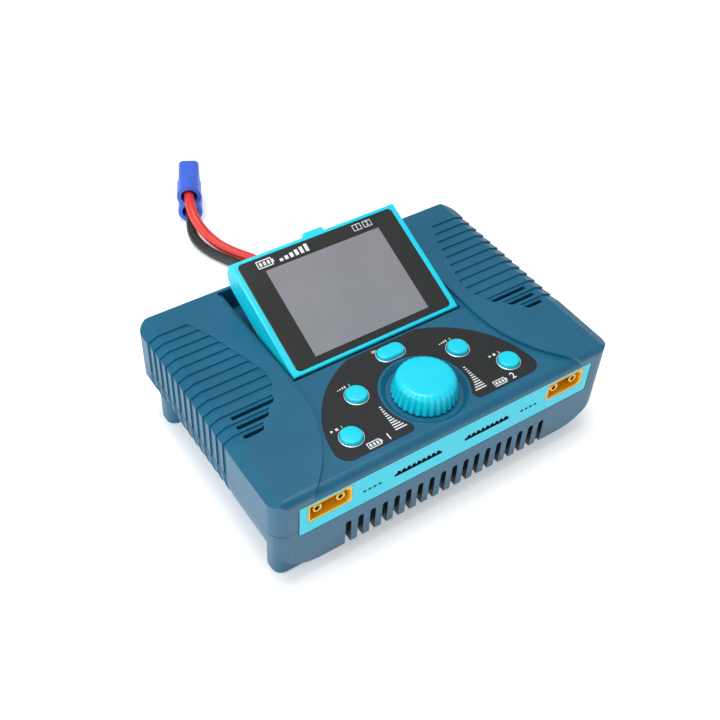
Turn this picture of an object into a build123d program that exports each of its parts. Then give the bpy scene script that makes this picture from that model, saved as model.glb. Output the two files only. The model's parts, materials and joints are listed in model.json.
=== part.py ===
"""Two-channel balance battery charger: tilting display, push-and-turn selector, output sockets,
balance ports, two exhaust fans and a two-lead input cable with its plug. Millimetres, +Z up, +Y rear.
The origin is on the table, under the middle of the case."""
from build123d import *
import os
from math import asin, atan, cos, degrees, pi, radians, sin, tan

os.makedirs("parts", exist_ok=True)

# ---- case ------------------------------------------------------------------------------
body_width = 173.0
body_depth = 120.0
shoulder_z = 55.0            # top of the raised shoulders
deck_step = 1.7              # the deck between them lies this much lower
parting_z = 35.0             # where the upper shell meets the lower shell
base_z = 9.5                 # underside of the lower shell, held up by the corner feet
wall = 2.4
roof = 2.4                   # thickness under the deck
corner_r = 7.0               # plan corners
bilge_r = 22.0               # round from side wall to underside
bevel_width = 5.0            # flat bevel along the left and right top edges
bevel_drop = 2.3
front_top_r = 3.5
deck_front_r = 4.0
rear_top_r = 1.5
base_edge_r = 3.0
shoulder_land = 2.0          # from the display's recess to the inner edge of each shoulder
shoulder_bend_reach = 48.0   # from the front to where that edge starts to sweep outwards
shoulder_bend_r = 63.0
shoulder_bend_turn = 56.0    # degrees

half_width = body_width / 2
half_depth = body_depth / 2
front_y = -half_depth
deck_z = shoulder_z - deck_step
ceiling_z = deck_z - roof
bilge_x = half_width - bilge_r
bilge_z = base_z + bilge_r
shoulder_bend_y = front_y + shoulder_bend_reach

# ---- louvres on the shoulders ----------------------------------------------------------
louvre_count = 13
louvre_pitch = 5.55
louvre_rear_y = 42.0         # rearmost groove line
louvre_depth = 0.7
louvre_low_z = 13.5
louvre_edge = [(19.5, 47.5), (24.5, 36.4), (29.5, 20.0), (33.5, 6.5), (33.3, -2.0), (29.0, -9.5),
               (13.5, -24.6)]   # inwards from the side wall, and y
louvre_slots = [(29.5, 9.0), (24.0, 8.5), (18.5, 8.5)]   # inner and outer ends from the side wall, rear to front
louvre_slot_width = 2.1
louvre_slot_slant = 1.6

# ---- front and rear openings -----------------------------------------------------------
vent_count = 18
vent_pitch = 6.1
vent_width = 2.8
vent_top_z = 24.2
vent_reach = 11.0            # how far each vent runs back under the case
fascia_width = body_width - 21.6
fascia_high_z = shoulder_z - 6.0
fascia_low_z = fascia_high_z - 17.7
fascia_r = 1.6
fascia_thickness = 1.4
fascia_gap = 0.2

# ---- power outputs, balance ports and sensor ports --------------------------------------
output_width = 20.5
output_height = 10.0
output_x = fascia_width / 2 - output_width / 2 - 4.2
output_z = fascia_high_z - 6.5
output_chamfer = 0.5         # outer corners on the keyed side
output_key = 1.9             # the same corners inside the well
output_depth = 16.0
output_wall = 0.9
output_well = 12.0
pin_spacing = 10.9
pin_d = 4.5
pin_bore = 2.2
balance_x = 18.05
port_z = fascia_high_z - 9.8
balance_ways = 9
sensor_x = 41.05
sensor_ways = 4
way_pitch = 2.5
way_width = 1.5
comb_slot_height = 1.5
comb_tooth_height = 1.3
sensor_slot_height = 1.0
header_depth = 9.0
header_low_z = port_z - 3.8
header_high_z = port_z + 3.2
header_pin = 0.64

# ---- deck controls ----------------------------------------------------------------------
knob_y = front_y + 22.5
knob_r = 14.5
knob_top_r = knob_r - 1.3
knob_height = 9.6
knob_shoulder_r = 2.6
knob_lift = 0.6              # air under the knob's skirt
flute_count = 32
flute_r = 1.1
shaft_r = 3.0
shaft_gap = 0.08
dish_r = knob_r + 4.3
dish_floor_r = knob_r + 2.1
dish_depth = 2.0
button_d = 9.5
button_gap = 0.2
button_rim = 0.75
button_height = 2.3          # above the deck
button_travel = 0.6
button_flange = 0.85
menu_width = 13.0
menu_depth = 7.6
overlay_ring_r = dish_r + 1.2
overlay_half_width = overlay_ring_r + 31.5
overlay_centre_y = front_y + 9.5
overlay_front_y = front_y + 6.4
overlay_corner_r = 6.0
overlay_mouth = overlay_ring_r - 4.0   # half width of the opening in front of the selector
overlay_mouth_r = 2.5
overlay_thickness = 0.45
overlay_pocket = 0.3
menu_button = (0.0, knob_y + overlay_ring_r + menu_depth / 2 + 1.3)
overlay_rear_y = menu_button[1] + menu_depth / 2 + 2.6   # cut straight just ahead of the display's recess
overlay_half_depth = overlay_rear_y - overlay_centre_y + 3.0
status_x = overlay_ring_r + 6.6
status_y = knob_y + 11.9
start_x = overlay_ring_r + 20.9
start_y = knob_y - 5.8
round_buttons = {"button_status_left": (-status_x, status_y), "button_status_right": (status_x, status_y),
                 "button_start_left": (-start_x, start_y), "button_start_right": (start_x, start_y)}

# ---- display ------------------------------------------------------------------------------
display_tilt = 22.5          # degrees above the closed position
display_width = 87.3
display_length = 59.0
display_thickness = 12.0
display_front = 2.5          # front face ahead of the hinge axis
display_rise = 7.2           # glass side above the hinge axis
bezel_depth = 5.2
display_wall = 1.8
display_edge_r = 1.2
display_heel_r = 8.0
glass_width = display_width - 5.5
glass_low = 1.7              # from the display's front edge
glass_high = 57.2
glass_r = 2.2
glass_thickness = 1.1
lcd_width = 60.0
lcd_length = 45.0
lcd_low = 5.2
lcd_rim = 3.0
lcd_thickness = 2.4
tab_half_width = 5.4
tab_reach = 2.0
tab_thickness = 2.0
hinge_y = overlay_rear_y + 7.0
hinge_z = shoulder_z - 7.0
hinge_pin_r = 1.5
hinge_gap = 0.08
recess_gap = 0.85            # between the display's sides and the recess
recess_r = 8.2               # swept by the display's front edge
recess_floor_z = hinge_z - 5.5
tub_wall = 1.7
recess_rear_y = half_depth - tub_wall
tab_low_z = hinge_z + display_rise - tab_thickness   # underside of the finger tab when the display is closed
tab_gap = 0.6
shoulder_line_x = display_width / 2 + recess_gap + shoulder_land

# ---- fans ---------------------------------------------------------------------------------
fan_size = 30.0
fan_depth = 7.0
fan_x = half_width - wall - fan_size / 2 - 5.6
fan_z = ceiling_z - fan_size / 2 - 1.4
fan_duct_r = fan_size / 2 - 1.1
fan_hub_r = 6.2
fan_blades = 7
fan_blade_r = fan_duct_r - 0.9
fan_blade_chord = 6.4
fan_blade_pitch = 35.0
fan_blade_thickness = 0.8
fan_screw_pitch = fan_size - 6.0
grille_slot = 2.2
grille_pitch = 3.6
grille_r = fan_duct_r - 0.5

# ---- boards, bosses and feet -----------------------------------------------------------------
board_thickness = 1.6
boss_x = half_width - 10.0
boss_y = half_depth - 13.5
boss_r = 3.3
case_screw_r = 1.45
case_screw_top_z = ceiling_z - 6.9
screw_gap = 0.25
foot_size = (27.4, 11.5)
foot_outer_x = half_width - 4.1
foot_outer_y = half_depth - 6.0
foot_r = 4.5
pad_thickness = 1.5
pad_margin = 1.8
screw_head_r = 2.7
screw_head_height = 2.2
control_board_z = deck_z - 10.3
control_posts = [(46.0, knob_y + 22.5), (32.7, knob_y - 14.5)]   # mirrored left to right
control_board_half = overlay_half_width - 3.5
control_post_r = 2.4
main_board_z = base_z + 6.0
main_board_width = body_width - 37.0
main_board_depth = body_depth - 36.0
standoff_x = main_board_width / 2 - 6.0
standoff_y = main_board_depth / 2 - 6.0

# ---- input cable ------------------------------------------------------------------------------
lead_d = 5.5
gland_x = 17.3
gland_z = 18.0
lead_spacing = 6.4
gland_reach = 5.0
usb_x = -24.0
usb_z = 21.0
plug_rear = (-3.0, 174.6)    # middle of the plug's rear face, in plan
plug_nose = (0.46, 0.888)    # which way the plug points, in plan
plug_lobe_r = 6.75
plug_pitch = 10.5
plug_length = 28.0
plug_cup_length = 12.0
plug_nose_width = 11.6
plug_cup_r = 4.6
plug_cup_depth = 9.0
contact_r = lead_d / 2
RED_ROUTE = [(20.5, 65.0, 18.0), (20.5, 75.5, 18.0), (20.7, 87.0, 12.6), (19.6, 98.6, 5.4),
             (16.0, 111.0, 2.95), (9.8, 124.0, 2.9), (2.8, 135.0, 3.1), (-3.0, 145.0, 4.9),
             (-7.6, 156.2, 11.6), (-6.22, 168.38, 17.25), (-1.62, 177.26, 17.25)]
BLACK_ROUTE = [(14.1, 65.0, 18.0), (14.1, 75.5, 18.0), (13.6, 87.0, 12.6), (11.5, 98.6, 5.4),
               (7.3, 111.0, 2.85), (1.2, 123.4, 2.8), (-5.0, 134.4, 2.85), (-9.4, 146.0, 2.8),
               (-10.6, 157.6, 4.1), (-6.22, 168.38, 6.75), (-1.62, 177.26, 6.75)]

# ---- worked out from the sizes above -------------------------------------------------------------
fascia_back_y = front_y + fascia_thickness
fan_rear_y = half_depth - wall
dish_floor_z = deck_z - dish_depth
knob_base_z = dish_floor_z + knob_lift
knob_top_z = knob_base_z + knob_height
board_top_z = control_board_z + board_thickness
main_top_z = main_board_z + board_thickness
mirror_x = (-1, 1)


def case_block(inset):
    """The case's outer form, drawn in by `inset` on every side."""
    side = half_width - inset
    depth = half_depth - inset
    top = shoulder_z - inset
    with BuildPart() as block:
        with BuildSketch(Plane.XZ):
            with BuildLine():
                bilge = CenterArc((bilge_x, bilge_z), bilge_r - inset, -90, 90)
                Line((0, base_z + inset), bilge @ 0)
                Polyline(bilge @ 1, (side, shoulder_z - bevel_drop - inset),
                         (half_width - bevel_width - inset / 2, top), (0, top))
                mirror(about=Plane.YZ)
            make_face()
        extrude(amount=depth, both=True)
        with BuildSketch(Plane.XY.offset(base_z)):
            RectangleRounded(2 * side, 2 * depth, corner_r - inset / 2)
        extrude(amount=shoulder_z, mode=Mode.INTERSECT)
        with BuildSketch(Plane.YZ) as profile:
            with Locations((0, (base_z + shoulder_z) / 2)):
                Rectangle(2 * depth, shoulder_z - base_z - 2 * inset)
            front = profile.vertices().group_by(Axis.X)[0].sort_by(Axis.Y)
            rear = profile.vertices().group_by(Axis.X)[-1].sort_by(Axis.Y)
            fillet(front[-1], front_top_r - inset / 2)
            fillet(rear[-1], rear_top_r - inset / 2)
            fillet([front[0], rear[0]], base_edge_r - inset / 2)
        extrude(amount=half_width, both=True, mode=Mode.INTERSECT)
    return block.part


def deck_air():
    """The space above the lower deck, with the deck's rounded front edge."""
    with BuildPart() as air:
        with BuildSketch(Plane.XY.offset(parting_z + 5)):
            with BuildLine():
                edge = Line((shoulder_line_x, recess_rear_y), (shoulder_line_x, shoulder_bend_y))
                sweep_out = CenterArc((shoulder_line_x + shoulder_bend_r, shoulder_bend_y),
                                      shoulder_bend_r, 180, shoulder_bend_turn)
                Line(sweep_out @ 1, (0, (sweep_out @ 1).Y))
                Line(edge @ 0, (0, recess_rear_y))
                mirror(about=Plane.YZ)
            make_face()
        extrude(amount=shoulder_z)
        with BuildSketch(Plane.YZ):
            with BuildLine():
                roll = CenterArc((front_y + deck_front_r, deck_z - deck_front_r), deck_front_r, 90, 90)
                Polyline(roll @ 0, (half_depth + 5, deck_z), (half_depth + 5, shoulder_z + 5),
                         (front_y - 5, shoulder_z + 5), (front_y - 5, (roll @ 1).Y), roll @ 1)
            make_face()
        extrude(amount=body_width, both=True, mode=Mode.INTERSECT)
    return air.part


def tub(grow, floor_z):
    """The display's recess, closed by a thin wall at the rear, its front rounded about the hinge axis."""
    half = display_width / 2 + recess_gap + grow
    rear_y = recess_rear_y + grow
    with BuildPart() as space:
        with BuildSketch(Plane.YZ):
            with Locations((hinge_y, hinge_z)):
                Circle(recess_r + grow)
            with Locations((hinge_y, floor_z)):
                Rectangle(rear_y - hinge_y, shoulder_z, align=(Align.MIN, Align.MIN))
            with Locations((rear_y, floor_z)):
                Rectangle(body_depth, shoulder_z, align=(Align.MAX, Align.MIN), mode=Mode.INTERSECT)
        extrude(amount=half, both=True)
    return space.part


def louvre_cutter():
    """What the saw-tooth louvres take off the right shoulder and side wall. Their steps face forwards."""
    lean = degrees(atan(louvre_depth / louvre_pitch))
    teeth = []
    for index in range(louvre_count):
        full_y = louvre_rear_y + louvre_pitch * (1 - index)
        with BuildPart() as tooth:
            with BuildSketch(Plane.XZ.offset(-full_y)):
                with BuildLine():
                    bilge = CenterArc((bilge_x, bilge_z), bilge_r, -90, 90)
                    Polyline(bilge @ 1, (half_width, shoulder_z - bevel_drop),
                             (half_width - bevel_width, shoulder_z), (0, shoulder_z), (0, base_z), bilge @ 0)
                make_face()
            extrude(amount=louvre_pitch, taper=lean)
        teeth.append(tooth.part.mirror(Plane.XZ.offset(louvre_pitch / 2 - full_y)))
    with BuildPart() as cutter:
        with BuildSketch(Plane.XY.offset(louvre_low_z)):
            with BuildLine():
                edge = [(half_width - inward, y) for inward, y in louvre_edge]
                Polyline(*edge, (half_width + 5, edge[-1][1]), (half_width + 5, edge[0][1]), edge[0])
            make_face()
        extrude(amount=shoulder_z)
        for tooth_part in teeth:
            add(tooth_part, mode=Mode.SUBTRACT)
    return cutter.part


def overlay_outline(gap):
    """The half-moon control overlay, grown by `gap` for the pocket that it lies in."""
    low = overlay_front_y - gap
    corner = overlay_corner_r + gap
    start = degrees(asin((low + corner - overlay_centre_y) / (overlay_half_depth + gap)))
    with BuildSketch() as outline:
        with BuildLine():
            rise = EllipticalCenterArc((0, overlay_centre_y), overlay_half_width + gap,
                                       overlay_half_depth + gap, start_angle=start, arc_size=180 - 2 * start)
            right = CenterArc(((rise @ 0).X - corner, low + corner), corner, -90, 90)
            left = CenterArc(((rise @ 1).X + corner, low + corner), corner, 180, 90)
            Line(left @ 1, right @ 0)
        make_face()
        with Locations((0, overlay_rear_y + gap)):
            Rectangle(body_width, body_depth, align=(Align.CENTER, Align.MAX), mode=Mode.INTERSECT)
        with Locations((0, knob_y)):
            Circle(overlay_ring_r - gap, mode=Mode.SUBTRACT)
        with Locations((0, low - 1)):
            Rectangle(2 * (overlay_mouth - gap), 6, align=(Align.CENTER, Align.MIN), mode=Mode.SUBTRACT)
        fillet(outline.vertices().group_by(Axis.Y)[0].sort_by(Axis.X)[1:-1], overlay_mouth_r)
    return outline.sketch


def button_outlines(grow):
    """The round buttons and the long menu button in plan, grown by `grow`."""
    with BuildSketch() as outlines:
        with Locations(*round_buttons.values()):
            Circle(button_d / 2 + grow)
        with Locations(menu_button):
            SlotOverall(menu_width + 2 * grow, menu_depth + 2 * grow)
    return outlines.sketch


def output_outline(grow, cut=output_chamfer):
    """A two-pole power socket seen from the front, with the corners of its right end cut for polarity."""
    right = output_width / 2 + grow
    high = output_height / 2 + grow
    with BuildSketch() as outline:
        with BuildLine():
            Polyline((-right, -high), (right - cut, -high), (right, cut - high),
                     (right, high - cut), (right - cut, high), (-right, high), close=True)
        make_face()
    return outline.sketch


def comb_outline():
    """A balance port: one slot with a notch above each way."""
    with BuildSketch() as comb:
        Rectangle(balance_ways * way_pitch + way_width, comb_slot_height)
        with Locations((0, (comb_slot_height + comb_tooth_height) / 2 - 0.1)):
            with GridLocations(way_pitch, 1, balance_ways, 1):
                Rectangle(way_width, comb_tooth_height)
    return comb.sketch


def port_outlines():
    """Every port opening of the fascia, on its front plane, whose local Y is the height."""
    with BuildSketch() as ports:
        for sign in mirror_x:
            with Locations((sign * output_x, output_z)):
                add(output_outline(0.1))
            with Locations((sign * balance_x, port_z)):
                add(comb_outline())
            with Locations((sign * sensor_x, port_z)):
                with GridLocations(way_pitch, 1, sensor_ways, 1):
                    Rectangle(way_width, sensor_slot_height)
    return ports.sketch


def grille_outline():
    """Vertical slots inside a circle, in front of one fan."""
    with BuildSketch() as grille:
        with GridLocations(grille_pitch, 1, int(2 * grille_r / grille_pitch), 1):
            SlotOverall(2 * grille_r + grille_slot, grille_slot, rotation=90)
        Circle(grille_r, mode=Mode.INTERSECT)
    return grille.sketch


def front_wall_cuts():
    """Fascia pocket and the openings behind it for the sockets."""
    with BuildPart() as cuts:
        with BuildSketch(Plane.XZ.offset(-front_y)):
            with Locations((0, (fascia_low_z + fascia_high_z) / 2)):
                RectangleRounded(fascia_width + 2 * fascia_gap,
                                 fascia_high_z - fascia_low_z + 2 * fascia_gap, fascia_r + fascia_gap)
        extrude(amount=-fascia_thickness)
        with BuildSketch(Plane.XZ.offset(-front_y)):
            for sign in mirror_x:
                with Locations((sign * output_x, output_z)):
                    add(output_outline(0.1))
                with Locations((sign * balance_x, (header_low_z + header_high_z) / 2)):
                    Rectangle(header_width(balance_ways) + 0.2, header_high_z - header_low_z + 0.2)
                with Locations((sign * sensor_x, (header_low_z + header_high_z) / 2)):
                    Rectangle(header_width(sensor_ways) + 0.2, header_high_z - header_low_z + 0.2)
        extrude(amount=-wall - 0.5)
    return cuts.part


def rear_wall_cuts():
    """Fan grilles and the countersinks and holes of the fan screws."""
    with BuildPart() as cuts:
        with BuildSketch(Plane.XZ.offset(-half_depth)):
            with Locations((-fan_x, fan_z), (fan_x, fan_z)):
                add(grille_outline())
        extrude(amount=wall)
        with BuildSketch(Plane.XZ.offset(-half_depth)):
            with Locations(*fan_screw_places()):
                Circle(1.35)
        extrude(amount=wall)
        with BuildSketch(Plane.XZ.offset(-half_depth)):
            with Locations(*fan_screw_places()):
                Circle(2.4)
        extrude(amount=1.4)
    return cuts.part


def header_width(ways):
    return ways * way_pitch + 1.8


def fan_screw_places():
    half = fan_screw_pitch / 2
    return [(sign * fan_x + dx, fan_z + dz) for sign in mirror_x for dx in (-half, half) for dz in (-half, half)]


def boss_places():
    return [(sx * boss_x, sy * boss_y) for sx in mirror_x for sy in (-1, 1)]


def post_places():
    return [(sign * x, y) for sign in mirror_x for x, y in control_posts]


def finish(builder, name):
    builder.part.label = name
    export_step(builder.part, f"parts/{name}.step")


outer_block = case_block(0)
inner_block = case_block(wall)
louvres = louvre_cutter()
front_cuts = front_wall_cuts()
rear_cuts = rear_wall_cuts()

# ==== upper shell =================================================================================
with BuildPart() as upper_cavity:
    add(inner_block)
    split(bisect_by=Plane.XY.offset(parting_z - 1), keep=Keep.TOP)
    split(bisect_by=Plane.XY.offset(ceiling_z), keep=Keep.BOTTOM)
    add(tub(tub_wall, recess_floor_z - tub_wall), mode=Mode.SUBTRACT)
    with BuildSketch(Plane.XY.offset(dish_floor_z - roof)):
        with Locations((0, knob_y)):
            Circle(dish_r + roof)
    extrude(amount=roof, mode=Mode.SUBTRACT)
    with BuildSketch(Plane.XY.offset(parting_z)):
        with Locations(*boss_places()):
            Circle(boss_r)
    extrude(amount=shoulder_z - parting_z, mode=Mode.SUBTRACT)
    with BuildSketch(Plane.XY.offset(board_top_z)):
        with Locations(*post_places()):
            Circle(control_post_r)
    extrude(amount=ceiling_z - board_top_z, mode=Mode.SUBTRACT)

with BuildPart() as top_shell:
    add(outer_block)
    split(bisect_by=Plane.XY.offset(parting_z), keep=Keep.TOP)
    add(deck_air(), mode=Mode.SUBTRACT)
    add(upper_cavity.part, mode=Mode.SUBTRACT)
    add(tub(0, recess_floor_z), mode=Mode.SUBTRACT)
    with BuildSketch(Plane.XY.offset(tab_low_z - tab_gap)):
        with Locations((0, half_depth)):
            Rectangle(2 * (tab_half_width + tab_gap), 4 * tub_wall)
    extrude(amount=shoulder_z, mode=Mode.SUBTRACT)
    add(louvres, mode=Mode.SUBTRACT)
    add(louvres.mirror(Plane.YZ), mode=Mode.SUBTRACT)
    add(front_cuts, mode=Mode.SUBTRACT)
    add(rear_cuts, mode=Mode.SUBTRACT)
    with BuildSketch(Plane.XY.offset(deck_z - overlay_pocket)):
        add(overlay_outline(0.1))
    extrude(amount=1, mode=Mode.SUBTRACT)
    with Locations((0, knob_y, dish_floor_z)):
        Cone(dish_floor_r, dish_r, dish_depth, align=(Align.CENTER, Align.CENTER, Align.MIN),
             mode=Mode.SUBTRACT)
    with BuildSketch(Plane.XY.offset(control_board_z)):
        with Locations((0, knob_y)):
            Circle(shaft_r + 1.2)
        add(button_outlines(button_gap))
    extrude(amount=shoulder_z, mode=Mode.SUBTRACT)
    with BuildSketch(Plane.XY.offset(ceiling_z + roof / 3)):
        add(button_outlines(button_rim))
    extrude(amount=shoulder_z, mode=Mode.SUBTRACT)
    with BuildSketch(Plane.XY.offset(parting_z)):
        with Locations(*boss_places()):
            Circle(case_screw_r)
    extrude(amount=case_screw_top_z - parting_z, mode=Mode.SUBTRACT)
    with BuildSketch(Plane.XY.offset(board_top_z)):
        with Locations(*post_places()):
            Circle(1.0)
    extrude(amount=4.0, mode=Mode.SUBTRACT)
    with BuildSketch(Plane.YZ):
        with Locations((hinge_y, hinge_z)):
            Circle(hinge_pin_r)
    extrude(amount=display_width / 2 + recess_gap + tub_wall, both=True, mode=Mode.SUBTRACT)
    for index, (inner, outer) in enumerate(louvre_slots):
        slot_y = louvre_rear_y - (louvre_count - 3.5 + index) * louvre_pitch
        high = slot_y + louvre_slot_width / 2
        low = slot_y - louvre_slot_width / 2
        with BuildSketch(Plane.XY.offset(ceiling_z - 5)):
            with BuildLine():
                Polyline((half_width - inner, high), (half_width - outer, high), (half_width - outer, low),
                         (half_width - inner + louvre_slot_slant, low), close=True)
            make_face()
            mirror(about=Plane.YZ)
        extrude(amount=shoulder_z, mode=Mode.SUBTRACT)
finish(top_shell, "top_shell")

# ==== lower shell ==================================================================================
with BuildPart() as lower_cavity:
    add(inner_block)
    with BuildSketch(Plane.XY):
        with Locations(*boss_places()):
            Circle(boss_r)
    extrude(amount=parting_z, mode=Mode.SUBTRACT)

with BuildPart() as bottom_shell:
    add(outer_block)
    split(bisect_by=Plane.XY.offset(parting_z), keep=Keep.BOTTOM)
    add(lower_cavity.part, mode=Mode.SUBTRACT)
    add(louvres, mode=Mode.SUBTRACT)
    add(louvres.mirror(Plane.YZ), mode=Mode.SUBTRACT)
    add(front_cuts, mode=Mode.SUBTRACT)
    add(rear_cuts, mode=Mode.SUBTRACT)
    with BuildSketch(Plane.XZ.offset(-front_y)):
        with Locations((0, vent_top_z)):
            with GridLocations(vent_pitch, 1, vent_count, 1):
                SlotOverall(4 * (vent_top_z - base_z), vent_width, rotation=90)
        with Locations((0, vent_top_z)):
            Rectangle(body_width, 4 * vent_top_z, align=(Align.CENTER, Align.MAX), mode=Mode.INTERSECT)
        with Locations((0, vent_top_z - vent_width / 2)):
            with GridLocations(vent_pitch, 1, vent_count, 1):
                Rectangle(vent_width, vent_width, align=(Align.CENTER, Align.MIN), mode=Mode.SUBTRACT)
                Circle(vent_width / 2)
    extrude(amount=-vent_reach, mode=Mode.SUBTRACT)
    with BuildSketch(Plane.XY):
        with Locations(*boss_places()):
            Circle(case_screw_r + screw_gap)
    extrude(amount=parting_z, mode=Mode.SUBTRACT)
    with BuildSketch(Plane.XZ.offset(-half_depth)):
        with Locations((gland_x, gland_z)):
            SlotOverall(lead_spacing + lead_d + 3, lead_d + 3)
        with Locations((usb_x, usb_z)):
            RectangleRounded(9.4, 3.6, 1.5)
    extrude(amount=wall, mode=Mode.SUBTRACT)
finish(bottom_shell, "bottom_shell")

# ==== feet, pads and case screws ======================================================================
foot_middle_x = foot_outer_x - foot_size[0] / 2
foot_middle_y = foot_outer_y - foot_size[1] / 2
foot_places = [(sx * foot_middle_x, sy * foot_middle_y) for sx in mirror_x for sy in (-1, 1)]
pad_size = (foot_size[0] - 2 * pad_margin, foot_size[1] - 2 * pad_margin)
screw_head_z = pad_thickness + 2.0

with BuildPart() as corner_feet:
    with BuildSketch(Plane.XY.offset(0.7)):
        with Locations(*foot_places):
            RectangleRounded(*foot_size, foot_r)
    extrude(amount=bilge_z - 3)
    add(outer_block, mode=Mode.SUBTRACT)
    with BuildSketch(Plane.XY):
        with Locations(*foot_places):
            RectangleRounded(*pad_size, foot_r - pad_margin)
    extrude(amount=pad_thickness, mode=Mode.SUBTRACT)
    with BuildSketch(Plane.XY):
        with Locations(*boss_places()):
            Circle(case_screw_r + screw_gap)
    extrude(amount=parting_z, mode=Mode.SUBTRACT)
    with BuildSketch(Plane.XY):
        with Locations(*boss_places()):
            Circle(screw_head_r + screw_gap)
    extrude(amount=screw_head_z + screw_head_height, mode=Mode.SUBTRACT)
finish(corner_feet, "corner_feet")

with BuildPart() as foot_pads:
    with BuildSketch(Plane.XY):
        with Locations(*foot_places):
            RectangleRounded(*pad_size, foot_r - pad_margin)
    extrude(amount=pad_thickness)
finish(foot_pads, "foot_pads")

with BuildPart() as case_screws:
    with BuildSketch(Plane.XY.offset(screw_head_z)):
        with Locations(*boss_places()):
            Circle(screw_head_r)
    extrude(amount=screw_head_height)
    with BuildSketch(Plane.XY.offset(screw_head_z)):
        with Locations(*boss_places()):
            Circle(case_screw_r)
    extrude(amount=case_screw_top_z - screw_head_z)
finish(case_screws, "case_screws")

# ==== fascia and its sockets ============================================================================
with BuildPart() as front_fascia:
    with BuildSketch(Plane.XZ.offset(-front_y)):
        with Locations((0, (fascia_low_z + fascia_high_z) / 2)):
            RectangleRounded(fascia_width, fascia_high_z - fascia_low_z, fascia_r)
        add(port_outlines(), mode=Mode.SUBTRACT)
    extrude(amount=-fascia_thickness)
finish(front_fascia, "front_fascia")

for side, sign in (("left", -1), ("right", 1)):
    socket_x = sign * output_x
    pin_places = [(socket_x - pin_spacing / 2, output_z), (socket_x + pin_spacing / 2, output_z)]
    with BuildPart() as output_socket:
        with BuildSketch(Plane.XZ.offset(-front_y)):
            with Locations((socket_x, output_z)):
                add(output_outline(0))
        extrude(amount=-output_depth)
        with BuildSketch(Plane.XZ.offset(-front_y)):
            with Locations((socket_x, output_z)):
                add(output_outline(-output_wall, output_key))
        extrude(amount=-output_well, mode=Mode.SUBTRACT)
        with BuildSketch(Plane.XZ.offset(-front_y)):
            with Locations(*pin_places):
                Circle(pin_d / 2)
        extrude(amount=-output_depth, mode=Mode.SUBTRACT)
    finish(output_socket, f"output_socket_{side}")

    with BuildPart() as output_pins:
        with BuildSketch(Plane.XZ.offset(-front_y - 1.0)):
            with Locations(*pin_places):
                Circle(pin_d / 2)
        extrude(amount=-output_depth - 2.0)
        with BuildSketch(Plane.XZ.offset(-front_y - 1.0)):
            with Locations(*pin_places):
                Circle(pin_bore / 2)
        extrude(amount=-output_well + 2.0, mode=Mode.SUBTRACT)
        chamfer(output_pins.faces().sort_by(Axis.Y)[:2].edges().filter_by(GeomType.CIRCLE), 0.3)
    finish(output_pins, f"output_pins_{side}")

    for kind, ways, port_x in (("balance", balance_ways, sign * balance_x),
                               ("sensor", sensor_ways, sign * sensor_x)):
        with BuildPart() as header:
            with BuildSketch(Plane.XZ.offset(-fascia_back_y)):
                with Locations((port_x, (header_low_z + header_high_z) / 2)):
                    Rectangle(header_width(ways), header_high_z - header_low_z)
            extrude(amount=-header_depth)
            with BuildSketch(Plane.XZ.offset(-fascia_back_y)):
                with Locations((port_x, (header_low_z + header_high_z) / 2)):
                    Rectangle(header_width(ways) - 1.4, header_high_z - header_low_z - 1.4)
            extrude(amount=-header_depth + 2.0, mode=Mode.SUBTRACT)
            with BuildSketch(Plane.XZ.offset(-fascia_back_y)):
                with Locations((port_x, port_z)):
                    with GridLocations(way_pitch, 1, ways, 1):
                        Rectangle(header_pin, header_pin)
            extrude(amount=-header_depth, mode=Mode.SUBTRACT)
        finish(header, f"{kind}_socket_{side}")

for kind, ways, port_x in (("balance", balance_ways, balance_x), ("sensor", sensor_ways, sensor_x)):
    with BuildPart() as header_pins:
        with BuildSketch(Plane.XZ.offset(-fascia_back_y - 1.2)):
            with Locations((-port_x, port_z), (port_x, port_z)):
                with GridLocations(way_pitch, 1, ways, 1):
                    Rectangle(header_pin, header_pin)
        extrude(amount=-header_depth + 1.2)
    finish(header_pins, f"{kind}_pins")

with BuildPart() as port_board:
    with BuildSketch(Plane.XZ.offset(-fascia_back_y - header_depth)):
        with Locations((0, control_board_z - 0.4)):
            Rectangle(2 * output_x - output_width - 3, 14, align=(Align.CENTER, Align.MAX))
    extrude(amount=-board_thickness)
finish(port_board, "port_board")

# ==== control overlay, buttons and selector ==================================================================
overlay_z = deck_z - overlay_pocket
with BuildPart() as control_overlay:
    with BuildSketch(Plane.XY.offset(overlay_z)):
        add(overlay_outline(0))
        add(button_outlines(button_rim), mode=Mode.SUBTRACT)
    extrude(amount=overlay_thickness)
finish(control_overlay, "control_overlay")

rim_low_z = ceiling_z + roof / 3
rim_high_z = deck_z + 0.45
with BuildPart() as button_rims:
    with BuildSketch(Plane.XY.offset(rim_low_z)):
        add(button_outlines(button_rim))
        add(button_outlines(button_gap), mode=Mode.SUBTRACT)
    extrude(amount=rim_high_z - rim_low_z)
    chamfer(button_rims.faces().filter_by(Axis.Z).group_by(Axis.Z)[-1].edges(), 0.15)
finish(button_rims, "button_rims")

flange_high_z = ceiling_z - 0.1
flange_low_z = flange_high_z - 1.2
stem_low_z = flange_low_z - 0.6
cap_high_z = deck_z + button_height
for button_name, place in round_buttons.items():
    with BuildPart() as button:
        with BuildSketch(Plane.XY.offset(flange_low_z)):
            with Locations(place):
                Circle(button_d / 2)
        extrude(amount=cap_high_z - flange_low_z)
        fillet(button.faces().sort_by(Axis.Z)[-1].edges(), button_height * 0.6)
        with BuildSketch(Plane.XY.offset(flange_low_z)):
            with Locations(place):
                Circle(button_d / 2 + button_flange)
        extrude(amount=flange_high_z - flange_low_z)
        with BuildSketch(Plane.XY.offset(stem_low_z)):
            with Locations(place):
                Circle(1.6)
        extrude(amount=flange_low_z - stem_low_z)
    finish(button, button_name)

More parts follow.
